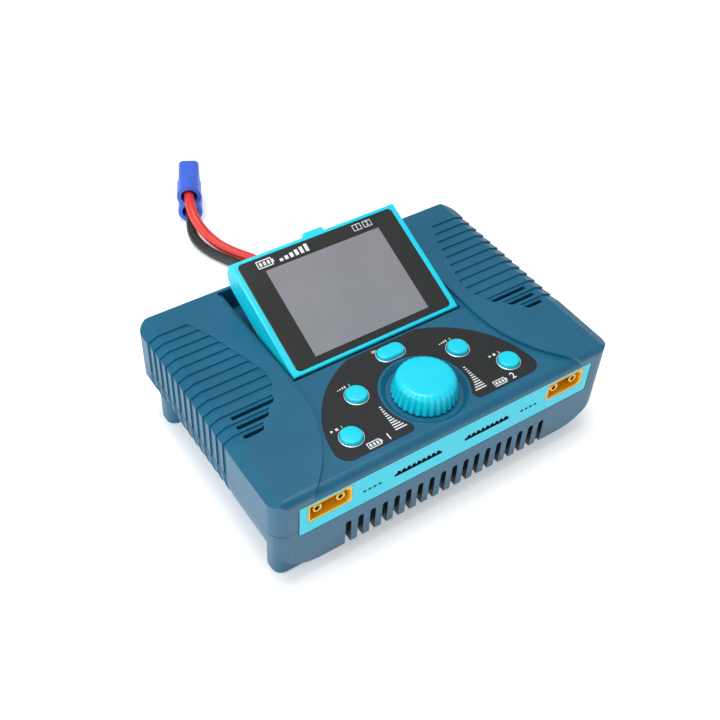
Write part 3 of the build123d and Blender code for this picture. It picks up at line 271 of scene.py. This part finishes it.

# %% [markdown]
# ## Dress the frame
# Every piece of the frame takes the material of its slot in the record. The housings behind the long slots
# of the fascia take black plastic instead, as painted shade in the slots that hides the contacts.

# %% Dress the frame
slot_material = {
    "case_plastic": case_abs, "cyan_plastic": cyan_abs, "overlay_film": film, "rim_white": chrome,
    "rubber_pad": rubber, "screw_steel": steel, "shaft_steel": steel, "circuit_board": solder_mask,
    "black_plastic": black_abs, "glass_black": printed_glass, "screen": screen,
    "socket_yellow": yellow_nylon, "gold_contact": gold, "aluminium": aluminium,
    "inductor_core": ferrite, "capacitor_sleeve": sleeve, "standoff_brass": brass, "port_metal": tin,
    "lead_red": silicone_red, "lead_black": silicone_black, "plug_blue": blue_nylon}
slot_of = {part["node"]: part["material_slot"] for part in frame["record"]["subparts"]}
body_of = {name: body for body, names in frame["record"]["behaviour"]["bodies"].items() for name in names}
for name, piece in nodes.items():
    piece.data.materials.clear()
    # painted shade: the socket housings in the fascia slots are made black
    shaded_in_slot = name.startswith(("balance_socket", "sensor_socket"))
    piece.data.materials.append(black_abs if shaded_in_slot else slot_material[slot_of[name]])

# %% [markdown]
# ## Helpers for modelling
# Every new piece is made as by hand: a primitive, edit mode, modifiers that are applied. These few helpers
# take out what each of those steps repeats, such as clearing the selection and handing a finished piece over
# to the body that it moves with.

# %% Helpers for modelling
def only(piece):
    """Select this object alone and make it active."""
    for item in bpy.context.selected_objects:
        item.select_set(False)
    piece.select_set(True)
    bpy.context.view_layer.objects.active = piece


def pick(piece, wanted):
    """In edit mode, select only the vertices whose place passes the test."""
    bpy.ops.mesh.select_all(action="DESELECT")
    cage = bmesh.from_edit_mesh(piece.data)
    for vertex in cage.verts:
        vertex.select_set(wanted(vertex.co))
    cage.select_flush_mode()
    bmesh.update_edit_mesh(piece.data)


def use_modifier(piece, kind, **settings):
    """Add a modifier, set it and apply it."""
    modifier = piece.modifiers.new(kind.lower(), kind)
    for key, value in settings.items():
        setattr(modifier, key, value)
    only(piece)
    bpy.ops.object.modifier_apply(modifier=modifier.name)


def join(pieces, name):
    """Several objects become one mesh."""
    only(pieces[0])
    for piece in pieces[1:]:
        piece.select_set(True)
    if len(pieces) > 1:
        bpy.ops.object.join()
    pieces[0].name = name
    return pieces[0]


def hand_over(piece, name, material, body, slot, *replaced, smooth=32):
    """Place into the mesh, smooth shading, finish, body and the nodes that it stands for."""
    only(piece)
    bpy.ops.object.transform_apply(location=True, rotation=True, scale=True)
    bpy.ops.object.shade_smooth_by_angle(angle=radians(smooth))
    piece.name = name
    if material:
        piece.data.materials.clear()
        piece.data.materials.append(material)
    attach(piece, body)
    if replaced:
        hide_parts(*replaced)
    print(name, len(piece.data.polygons), "faces on", body)
    return piece


def middle(node):
    low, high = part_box(node)
    return (low + high) / 2


# %% [markdown]
# ## Moulded parts with softened edges
# A mould never gives a knife edge, and the thin bright line along a softened edge is what makes plastic look
# real. Each moulding starts as a copy of its engineering mesh. The loose triangles are merged, the flat ones
# dissolved into whole faces, and a Bevel modifier rounds every sharp edge by a few tenths of a millimetre.
# Weighted normals keep the large faces flat.

# %% Softened copies
def merged_copy(node):
    """A copy of a node with its own mesh, its loose triangles merged into whole faces."""
    piece = nodes[node].copy()
    piece.data = nodes[node].data.copy()
    bpy.context.collection.objects.link(piece)
    only(piece)
    bpy.ops.object.mode_set(mode="EDIT")
    bpy.ops.mesh.select_all(action="SELECT")
    bpy.ops.mesh.remove_doubles(threshold=0.001 * MM)
    bpy.ops.mesh.dissolve_limited(angle_limit=radians(1.0))
    bpy.ops.object.mode_set(mode="OBJECT")
    return piece


def softened(node, name, edge_mm, sharp=45):
    """A copy of a node's mesh with rounded edges, riding and finished like the node."""
    piece = merged_copy(node)
    use_modifier(piece, "BEVEL", width=edge_mm * MM, segments=2, limit_method="ANGLE",
                 angle_limit=radians(sharp), use_clamp_overlap=False, loop_slide=False)
    slot = slot_of[node]
    hand_over(piece, name, slot_material[slot], body_of[node], slot, node)
    use_modifier(piece, "WEIGHTED_NORMAL", keep_sharp=True)
    return piece


softened("corner_feet", "feet", 0.25)
fascia_plate = softened("front_fascia", "fascia_plate", 0.22)
softened("display_back", "display_rear_cover", 0.25)
softened("display_bezel", "display_frame", 0.14)
for side in ("left", "right"):
    softened(f"output_socket_{side}", f"power_socket_{side}", 0.16)
    softened(f"output_pins_{side}", f"power_pins_{side}", 0.12)
softened("button_rims", "button_rings", 0.14)
softened("control_overlay", "control_film", 0.1)
softened("cable_gland", "gland", 0.3)
softened("usb_port", "data_port", 0.1)

# %% [markdown]
# The walls of the long slots in the fascia are painted black, like the housings behind them, as painted shade
# in the slots. Their faces are found by their place between the power sockets and by a normal that doesn't
# point forwards. The rim of the plate is painted black as well, as the painted shadow of the gap to the case,
# and this is the fine outline round the turquoise.

# %% Painted shade in the slots and round the rim of the fascia
fascia_plate.data.materials.append(black_abs)
slot_ends, slot_heights = (5.0, 48.0), (35.6, 42.4)
plate_low, plate_high = (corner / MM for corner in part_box("front_fascia"))
rim = 0.2
shaded_faces = 0
for face in fascia_plate.data.polygons:
    place = face.center / MM
    in_slot = slot_ends[0] < abs(place.x) < slot_ends[1] and slot_heights[0] < place.z < slot_heights[1]
    at_rim = abs(place.x) > plate_high.x - rim or not plate_low.z + rim < place.z < plate_high.z - rim
    # painted shade: slot walls and the rim of the plate take black plastic
    if at_rim or in_slot and abs(face.normal.y) < 0.5:
        face.material_index = 1
        shaded_faces += 1
print("black faces of the fascia:", shaded_faces)

# %% [markdown]
# ## Black sheet of painted shade behind the vents
# A black sheet behind the row of vents is painted shade: it darkens the inside of the vents, so the slots
# read as solid black strips between the ribs. It is a thin sheet, bent once: the upright leg stands behind the
# front wall, and its lower edge is extruded back over the floor of the case.

# %% Black sheet of painted shade
sheet = 0.3
# painted shade: a black sheet put where the vents are only in shade
bpy.ops.mesh.primitive_cube_add(size=1, location=(0, -57.25 * MM, 18.6 * MM))
vent_shade_sheet = bpy.context.object
vent_shade_sheet.scale = (112 * MM, sheet * MM, 13.0 * MM)
only(vent_shade_sheet)
bpy.ops.object.transform_apply(location=True, rotation=True, scale=True)
bpy.ops.object.mode_set(mode="EDIT")
bpy.ops.mesh.select_all(action="SELECT")
bpy.ops.mesh.bisect(plane_co=(0, 0, (12.1 + sheet) * MM), plane_no=(0, 0, 1))
pick(vent_shade_sheet, lambda place: place.z < 12.5 * MM and place.y > -57.2 * MM)
bpy.ops.mesh.extrude_region_move(TRANSFORM_OT_translate={"value": (0, 9.4 * MM, 0)})
bpy.ops.mesh.select_all(action="SELECT")
bpy.ops.mesh.normals_make_consistent(inside=False)
bpy.ops.object.mode_set(mode="OBJECT")
hand_over(vent_shade_sheet, "vent_shade_sheet", black_abs, "case", "black_plastic")

# %% [markdown]
# The inner walls of the vents are painted black too, as painted shade inside them. A merged copy of the
# lower shell takes this black as a second material on the faces that look sideways or down.

# %% Vents painted black inside as painted shade
lower_case = merged_copy("bottom_shell")
lower_case.data.materials.append(black_abs)
shell_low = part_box("bottom_shell")[0] / MM
vent_half_width, vent_top, vent_reach, lip = 54.0, 24.4, 11.1, 0.05
shaded = 0
for face in lower_case.data.polygons:
    place = face.center / MM
    in_row = abs(place.x) < vent_half_width and shell_low.z + lip < place.z < vent_top
    in_wall = shell_low.y + lip < place.y < shell_low.y + vent_reach
    # painted shade: the walls inside the vents take black plastic
    if in_row and in_wall and abs(face.normal.y) < 0.3:
        face.material_index = 1
        shaded += 1
print("lined vent faces:", shaded)
hand_over(lower_case, "lower_case", None, "case", "case_plastic", "bottom_shell")
use_modifier(lower_case, "WEIGHTED_NORMAL", keep_sharp=True)

# %% [markdown]
# ## Turned parts
# Caps, knobs and screws are round, and a round part is a filled circle that is pushed up ring by ring: extrude,
# then scale to the next radius. A list of radius and height pairs is all that such a part needs.

# %% Turned parts
def turned(centre, profile, segments=64):
    """A closed turned shape through (radius, height) pairs in millimetres about a vertical line."""
    (radius, height), *rest = profile
    bpy.ops.mesh.primitive_circle_add(vertices=segments, radius=radius * MM, fill_type="NGON",
                                      location=(centre.x, centre.y, height * MM))
    piece = bpy.context.object
    only(piece)
    bpy.ops.object.transform_apply(location=True, rotation=True, scale=True)
    bpy.ops.object.mode_set(mode="EDIT")
    bpy.ops.mesh.select_all(action="SELECT")
    for next_radius, next_height in rest:
        rise = (0, 0, (next_height - height) * MM)
        bpy.ops.mesh.extrude_region_move(TRANSFORM_OT_translate={"value": rise})
        scale = next_radius / radius
        bpy.ops.transform.resize(value=(scale, scale, 1),
                                 center_override=(centre.x, centre.y, next_height * MM))
        radius, height = next_radius, next_height
    bpy.ops.mesh.select_all(action="SELECT")
    bpy.ops.mesh.normals_make_consistent(inside=False)
    bpy.ops.object.mode_set(mode="OBJECT")
    return piece


def rounded(radius, height, edge, steps=6):
    """Radius and height pairs of a rounded upper edge that ends at this height."""
    turns = [pi / 2 * step / steps for step in range(steps + 1)]
    return [(radius - edge + edge * cos(turn), height - edge + edge * sin(turn)) for turn in turns]


# %% [markdown]
# ## Push buttons
# Four round caps and one long one, each a soft pillow: straight sides, a generous round and a crown that
# rises another two tenths in the middle. The long cap is a round one that is cut in half and pulled apart,
# which keeps its ends true half circles.

# %% Push buttons
def button_cap(node):
    """A pillow-shaped cap with the hidden flange and stem that its switch needs."""
    low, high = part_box(node)
    centre = (low + high) / 2
    top, foot = high.z / MM, low.z / MM
    radius = cap_radius[node]
    crown = 0.22
    pairs = [(1.6, foot), (1.6, foot + 0.6), (radius + 0.8, foot + 0.6), (radius + 0.8, foot + 1.75)]
    pairs += [(radius, foot + 1.75), *rounded(radius, top - crown, 1.0)]
    pairs += [(radius * 0.5, top - crown * 0.3), (radius * 0.2, top)]
    return turned(centre, pairs)


cap_radius = {"button_menu": 3.8}
for name in ("status_left", "status_right", "start_left", "start_right"):
    cap_radius[f"button_{name}"] = 4.75
menu_pull = 2.7 * MM
for node in cap_radius:
    cap = button_cap(node)
    if node == "button_menu":
        only(cap)
        centre_x = middle(node).x
        bpy.ops.object.mode_set(mode="EDIT")
        for side in (-1, 1):
            pick(cap, lambda place: side * (place.x - centre_x) > 0.01 * MM)
            bpy.ops.transform.translate(value=(side * menu_pull, 0, 0))
        bpy.ops.object.mode_set(mode="OBJECT")
    hand_over(cap, node.replace("button", "cap"), cyan_abs, body_of[node], "cyan_plastic", node)

# %% [markdown]
# ## Selector knob
# The knob is a low drum with a wide rounded shoulder and a skirt of thirty soft lobes, like a bottle cap.
# The drum is turned with six points for each lobe. The points in and beside each valley are then drawn in
# towards the axis, a little less with every ring of the shoulder, so the lobes fade out under the flat top.

# %% Selector knob
knob_low, knob_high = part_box("selector_knob")
knob_axis = middle("selector_knob")
knob_foot, knob_top = knob_low.z / MM, knob_high.z / MM
knob_radius = (knob_high.x - knob_low.x) / 2 / MM
lobes, points_per_lobe, valley = 30, 6, 0.62
top_radius, shoulder = knob_radius - 1.25, 3.0
drum = [(knob_radius - 3.4, knob_foot + 1.2), (knob_radius - 3.2, knob_foot), (knob_radius - 0.35, knob_foot),
        (knob_radius, knob_foot + 0.35)]
drum += rounded(top_radius, knob_top - 0.12, shoulder, 7)
drum += [(top_radius - shoulder - 2.0, knob_top - 0.05), (2.0, knob_top)]
knob = turned(knob_axis, drum, lobes * points_per_lobe)
only(knob)
bpy.ops.object.mode_set(mode="EDIT")
rings = [pair for pair in drum if pair[0] > knob_radius - 3.0]
lobe_angle = 2 * pi / (lobes * points_per_lobe)


def in_group(place, height, group):
    """Whether a point belongs to this ring and lies this many steps from its valley."""
    step = round(atan2(place.y - knob_axis.y, place.x - knob_axis.x) / lobe_angle) % points_per_lobe
    return abs(place.z / MM - height) < 0.01 and min(step, points_per_lobe - step) == group


for ring_radius, ring_height in rings:
    fade = min(1.0, (knob_top - ring_height) / shoulder)
    for group, share in ((0, 1.0), (1, 0.3), (2, 0.05)):
        pick(knob, lambda place: in_group(place, ring_height, group))
        draw_in = 1 - valley * share * fade ** 0.7 / ring_radius
        bpy.ops.transform.resize(value=(draw_in, draw_in, 1), center_override=knob_axis)
bpy.ops.object.mode_set(mode="OBJECT")
hand_over(knob, "selector_drum", cyan_abs, "selector", "cyan_plastic", "selector_knob", smooth=50)

# %% [markdown]
# ## Display glass
# One pane of glass covers the whole display. Its border is printed black on the back, and the clear window
# shows the grey screen. The pane is a block with rounded corners, laid flat at first. Four bisect cuts split
# its upper face along the window's edges, and the middle face takes the screen's material. It is then tilted
# with the frame about the hinge.

# %% Display glass
hinge = next(joint for joint in frame["joints"] if joint["name"] == "display_tilt")
hinge_place = Vector(hinge["pos_m"])
display_tilt = radians(22.5)
pane_width, pane_low, pane_high, pane_top, pane_depth = 81.6, -0.75, 54.65, 7.1, 1.0
window_half, window_low, window_high = 30.0, 2.7, 47.7
on_display = Matrix.Translation(hinge_place) @ Matrix.Rotation(display_tilt, 4, "X")
bpy.ops.mesh.primitive_cube_add(size=1, location=(0, (pane_low + pane_high) / 2 * MM, (pane_top - pane_depth / 2) * MM))
pane = bpy.context.object
pane.scale = (pane_width * MM, (pane_high - pane_low) * MM, pane_depth * MM)
only(pane)
bpy.ops.object.transform_apply(location=True, rotation=True, scale=True)
cage = bmesh.new()
cage.from_mesh(pane.data)
upright = [edge for edge in cage.edges if abs(edge.verts[0].co.z - edge.verts[1].co.z) > 0.5 * MM]
bmesh.ops.bevel(cage, geom=upright, offset=2.1 * MM, segments=8, affect="EDGES", profile=0.5)
cage.to_mesh(pane.data)
cage.free()
bpy.ops.object.mode_set(mode="EDIT")
cuts = [((window_half, 0), (1, 0)), ((-window_half, 0), (1, 0)), ((0, window_low), (0, 1)), ((0, window_high), (0, 1))]
for (x, y), (across, along) in cuts:
    bpy.ops.mesh.select_all(action="SELECT")
    bpy.ops.mesh.bisect(plane_co=(x * MM, y * MM, 0), plane_no=(across, along, 0))
bpy.ops.object.mode_set(mode="OBJECT")
use_modifier(pane, "BEVEL", width=0.18 * MM, segments=2, limit_method="ANGLE", angle_limit=radians(60))
pane.data.materials.clear()
pane.data.materials.append(printed_glass)
pane.data.materials.append(screen)
for face in pane.data.polygons:
    x, y, z = face.center / MM
    if face.normal.z > 0.9 and abs(x) < window_half and window_low < y < window_high:
        face.material_index = 1
pane.matrix_world = on_display
hand_over(pane, "cover_glass", None, "display", "glass_black", "display_glass")
use_modifier(pane, "WEIGHTED_NORMAL", keep_sharp=True)

# %% [markdown]
# ## Screen printing
# The white marks are screen printed, a few hundredths of a millimetre thick. They are laid out as flat
# shapes, joined and given that thickness. The marks are plain signs: rising level bars, the channel numerals
# one and two, a battery sign, and a play and stop sign.

# %% Flat shapes to print
def bar(x, y, width, height):
    bpy.ops.mesh.primitive_plane_add(size=1, location=(x * MM, y * MM, 0))
    shape = bpy.context.object
    shape.scale = (width * MM, height * MM, 1)
    return shape


def disc(x, y, radius, corners=20, turn=0.0):
    bpy.ops.mesh.primitive_circle_add(vertices=corners, radius=radius * MM, fill_type="NGON",
                                      location=(x * MM, y * MM, 0), rotation=(0, 0, turn))
    return bpy.context.object


def numeral(x, y, height, figure):
    """A numeral, made a mesh before its place is applied."""
    bpy.ops.object.text_add(location=(x * MM, y * MM, 0))
    shape = bpy.context.object
    shape.data.body = str(figure)
    shape.data.size = height * MM * 1.42
    shape.data.offset = height * MM * 0.02
    shape.data.align_x, shape.data.align_y = "CENTER", "CENTER"
    only(shape)
    bpy.ops.object.convert(target="MESH")
    return bpy.context.object


def frame_lines(x, y, width, height, line):
    """A rectangle in outline."""
    upright = [bar(x + side * (width - line) / 2, y, line, height) for side in (-1, 1)]
    level = [bar(x, y + side * (height - line) / 2, width - 2 * line, line) for side in (-1, 1)]
    return upright + level


def battery_sign(x, y, width, height):
    """A battery in outline with its terminal and three cells."""
    line = height * 0.13
    cell = (width - 5 * line) / 3
    cells = [bar(x + step * (cell + line * 0.6), y, cell * 0.72, height - 4 * line) for step in (-1, 0, 1)]
    return frame_lines(x, y, width, height, line) + cells + [bar(x + (width + height * 0.2) / 2, y, height * 0.2, height * 0.45)]


def print_marks(shapes, name, lift, matrix, body):
    """Join the flat shapes, give them the thickness of ink and put them on their surface."""
    sheet = join(shapes, name)
    only(sheet)
    bpy.ops.object.transform_apply(location=True, rotation=True, scale=True)
    use_modifier(sheet, "SOLIDIFY", thickness=0.03 * MM, offset=1.0)
    sheet.matrix_world = matrix @ Matrix.Translation((0, 0, lift * MM))
    return hand_over(sheet, name, white_ink, body, "rim_white")


# %% Marks on the control film
marks = []
for side in (-1, 1):
    for step in range(11):
        y = -36.2 - 1.33 * step
        inner = (21.5 ** 2 - (y - knob_axis.y / MM) ** 2) ** 0.5
        outer = 22.5 + 0.11 * step
        marks.append(bar(side * (inner + outer) / 2, y, outer - inner, 0.62))
    figure = 1 if side < 0 else 2
    marks += battery_sign(side * 32.4 - 2.6, -51.0, 6.2, 3.2)
    marks.append(numeral(side * 32.4 + 4.6, -51.0, 3.3, figure))
    status, start = (middle(f"button_{key}_{'left' if side < 0 else 'right'}") / MM for key in ("status", "start"))
    marks += [bar(status.x - 5.2 + 1.2 * step, status.y + 6.2 + 0.13 * step, 0.6, 0.5 + 0.26 * step) for step in range(4)]
    marks.append(numeral(status.x + 0.6, status.y + 6.5, 1.35, figure))
    marks += [disc(start.x - 5.4, start.y + 6.4, 0.85, 3, -pi / 2), bar(start.x - 2.9, start.y + 6.4, 1.25, 1.25)]
    marks.append(numeral(start.x - 0.4, start.y + 6.4, 1.35, figure))
menu = middle("button_menu") / MM
marks += [bar(menu.x - 6.0, menu.y + 3.6 + 0.55 * step, 2.2, 0.26) for step in range(3)]
marks += [disc(menu.x - 3.4 + 1.1 * step, menu.y + 4.2, 0.3) for step in range(3)]
film_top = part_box("control_overlay")[1].z / MM
print_marks(marks, "film_marks", film_top, Matrix.Identity(4), "case")

# %% Marks on the display glass
header_y = 51.3
marks = battery_sign(-28.6, header_y, 7.6, 3.9)
marks += [bar(-20.6 + 2.7 * step, header_y - 1.95 + (1.4 + 0.5 * step) / 2, 1.7, 1.4 + 0.5 * step) for step in range(6)]
for step in (0, 1):
    marks += frame_lines(20.4 + 5.6 * step, header_y + 0.3, 4.4, 3.3, 0.32)
    marks.append(numeral(20.4 + 5.6 * step, header_y + 0.3, 2.1, step + 1))
print_marks(marks, "glass_marks", pane_top, on_display, "display")

# %% [markdown]
# ## Screws with a cross recess
# The small pan-head screws of the fans and the case are turned once, and two crossed bars are cut out of the
# head with a Boolean modifier. Each screw is then a copy with its own mesh.

# %% Screws
def cross_head(name, head_radius, head_height, shank_radius, length):
    """A pan-head screw that points down from the origin, its head above."""
    edge = head_height * 0.55
    pairs = [(shank_radius * 0.7, -length), (shank_radius, -length + 0.5), (shank_radius, 0), (head_radius, 0),
             *rounded(head_radius, head_height, edge, 4)]
    screw = turned(Vector((0, 0, 0)), pairs, 40)
    for turn in (0, pi / 2):
        bpy.ops.mesh.primitive_cube_add(size=1, location=(0, 0, head_height * MM), rotation=(0, 0, turn))
        cutter = bpy.context.object
        cutter.scale = (head_radius * 1.15 * MM, head_radius * 0.3 * MM, head_height * 1.1 * MM)
        use_modifier(screw, "BOOLEAN", operation="DIFFERENCE", object=cutter)
        bpy.data.objects.remove(cutter)
    screw.name = name
    return screw


def set_of_screws(pattern, places, turn, name, node):
    """Copies of one screw at each place, turned to face the right way, as one piece."""
    copies = []
    for place in places:
        screw = pattern.copy()
        screw.data = pattern.data.copy()
        bpy.context.collection.objects.link(screw)
        screw.matrix_world = Matrix.Translation(Vector(place) * MM) @ turn
        copies.append(screw)
    bpy.data.objects.remove(pattern)
    return hand_over(join(copies, name), name, steel, "case", "screw_steel", node)


fan_half_pitch = 12.0
screws_low, screws_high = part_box("fan_screws")
fan_places = []
for side in ("left", "right"):
    fan = middle(f"fan_frame_{side}") / MM
    fan_places += [(fan.x + dx, screws_high.y / MM - 1.2, fan.z + dz) for dx in (-fan_half_pitch, fan_half_pitch)
                   for dz in (-fan_half_pitch, fan_half_pitch)]
fan_length = (screws_high.y - screws_low.y) / MM - 1.2
set_of_screws(cross_head("fan_pattern", 2.2, 1.2, 1.2, fan_length), fan_places,
              Matrix.Rotation(-pi / 2, 4, "X"), "fan_fixing_screws", "fan_screws")
case_low, case_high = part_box("case_screws")
case_places = [(sx * (case_high.x / MM - 2.7), sy * (case_high.y / MM - 2.7), case_low.z / MM + 2.2)
               for sx in (-1, 1) for sy in (-1, 1)]
set_of_screws(cross_head("case_pattern", 2.7, 2.2, 1.45, case_high.z / MM - case_places[0][2]), case_places,
              Matrix.Rotation(pi, 4, "X"), "case_fixing_screws", "case_screws")

# %% [markdown]
# ## Leads
# The two silicone leads are limp: they leave the gland straight, sink to the table and turn up again into
# the plug. Each is one smooth NURBS line through the points of its route, thickened by a bevel.

# %% Leads
lead_radius = 2.75 * MM
red_route = [(20.5, 65.0, 18.0), (20.5, 75.5, 18.0), (20.7, 87.0, 12.6), (19.6, 98.6, 5.4),
             (16.0, 111.0, 2.95), (9.8, 124.0, 2.9), (2.8, 135.0, 3.1), (-3.0, 145.0, 4.9),
             (-7.6, 156.2, 11.6), (-6.22, 168.38, 17.25), (-1.62, 177.26, 17.25)]
black_route = [(14.1, 65.0, 18.0), (14.1, 75.5, 18.0), (13.6, 87.0, 12.6), (11.5, 98.6, 5.4),
               (7.3, 111.0, 2.85), (1.2, 123.4, 2.8), (-5.0, 134.4, 2.85), (-9.4, 146.0, 2.8),
               (-10.6, 157.6, 4.1), (-6.22, 168.38, 6.75), (-1.62, 177.26, 6.75)]


def silicone_lead(name, route, material, node):
    """One lead as a smooth tube along its route."""
    curve = bpy.data.curves.new(name, "CURVE")
    curve.dimensions = "3D"
    spline = curve.splines.new("NURBS")
    spline.points.add(len(route) - 1)
    for point, place in zip(spline.points, route):
        point.co = (*[value * MM for value in place], 1)
    spline.order_u = 3
    spline.use_endpoint_u = True
    spline.resolution_u = 12
    curve.bevel_depth = lead_radius
    curve.bevel_resolution = 8
    curve.use_fill_caps = True
    curve.materials.append(material)
    lead = bpy.data.objects.new(name, curve)
    bpy.context.collection.objects.link(lead)
    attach(lead, "case")
    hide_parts(node)
    print(name, "laid through", len(route), "points")
    return lead


silicone_lead("red_silicone_lead", red_route, silicone_red, "red_lead")
silicone_lead("black_silicone_lead", black_route, silicone_black, "black_lead")
